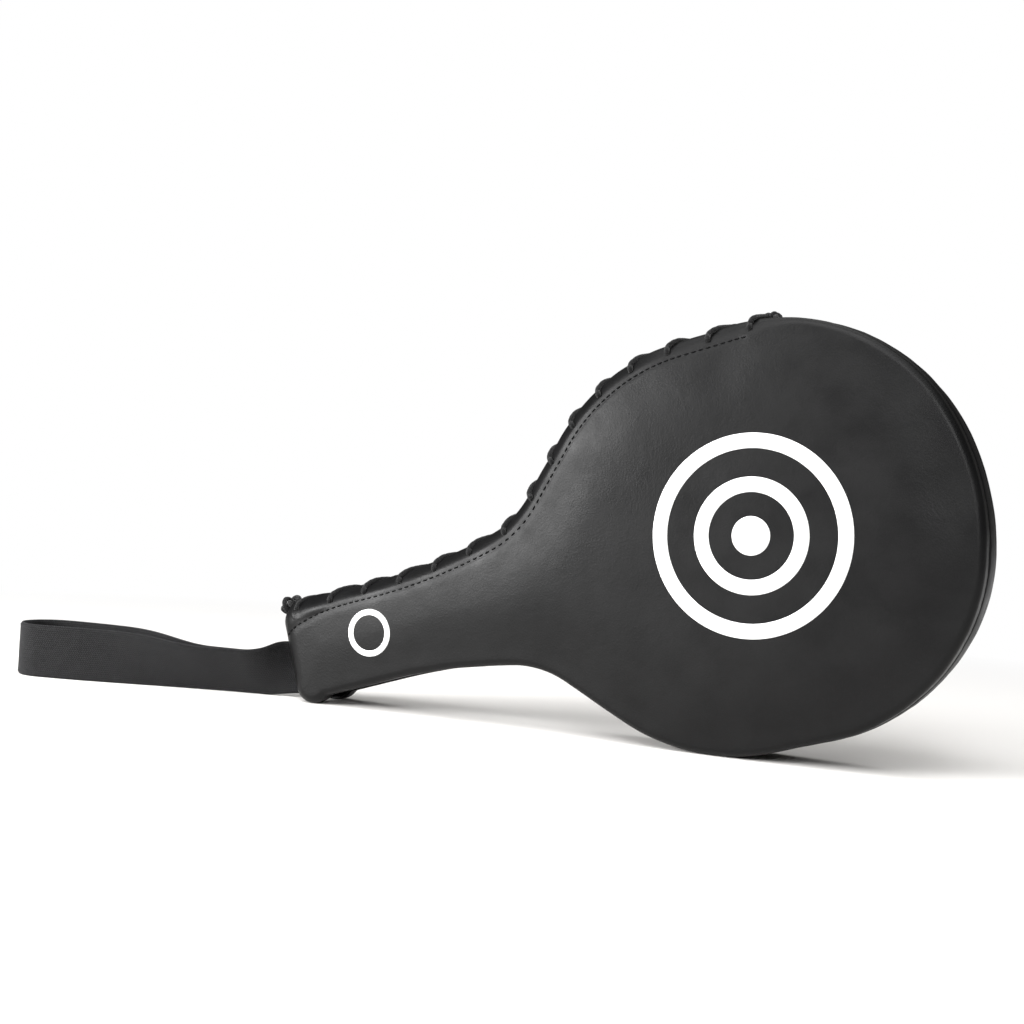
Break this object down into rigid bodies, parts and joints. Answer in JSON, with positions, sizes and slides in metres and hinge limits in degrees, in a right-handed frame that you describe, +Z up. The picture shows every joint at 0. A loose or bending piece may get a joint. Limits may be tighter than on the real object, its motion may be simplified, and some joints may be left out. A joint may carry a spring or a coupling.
{
  "type": "kick paddle",
  "caption": "Racket-shaped striking pad with a padded round head, a tapering grip, a cross-laced upper edge and an elastic wrist loop that swings at the handle's end.",
  "frame": {"origin": "middle of the bounding box's floor, under the paddle as it stands on its lower edge", "axes": "+X along the floor from the wrist strap towards the head's tip, +Y through the thickness from the front striking face to the back one, +Z up"},
  "size_m": [0.5074, 0.07, 0.2104],
  "materials": {
    "leather": "satin synthetic leather with a fine soft grain",
    "foam": "closed-cell foam",
    "board": "raw fibreboard",
    "lace": "braided round cord",
    "thread": "bonded sewing thread",
    "print": "matt screen print",
    "webbing": "ribbed elastic webbing"
  },
  "bodies": {
    "paddle": {"core_board": "board", "front_head_foam": "foam", "back_head_foam": "foam", "front_grip_foam": "foam", "back_grip_foam": "foam", "front_cover": "leather", "back_cover": "leather", "rim_band": "leather", "front_rim_seam": "thread", "back_rim_seam": "thread", "lace_tongue": "leather", "lace": "lace", "handle_lace_knot": "lace", "head_lace_knot": "lace", "front_topstitch": "thread", "back_topstitch": "thread", "handle_end_panel": "leather", "strap_tail": "webbing", "strap_tack_thread": "thread", "front_target_ring": "print", "front_target_inner_ring": "print", "front_target_dot": "print", "front_grip_badge": "print", "back_target_ring": "print", "back_target_inner_ring": "print", "back_target_dot": "print", "back_grip_badge": "print"},
    "strap": {"wrist_strap": "webbing"}
  },
  "joints": [
    {"name": "strap_swing", "type": "hinge", "parent": "paddle", "child": "strap", "pos_m": [-0.09158, 0.01536, 0.00238], "axis": [-0.3058, 0, 0.9521], "range_deg": [-93, 67]}
  ]
}
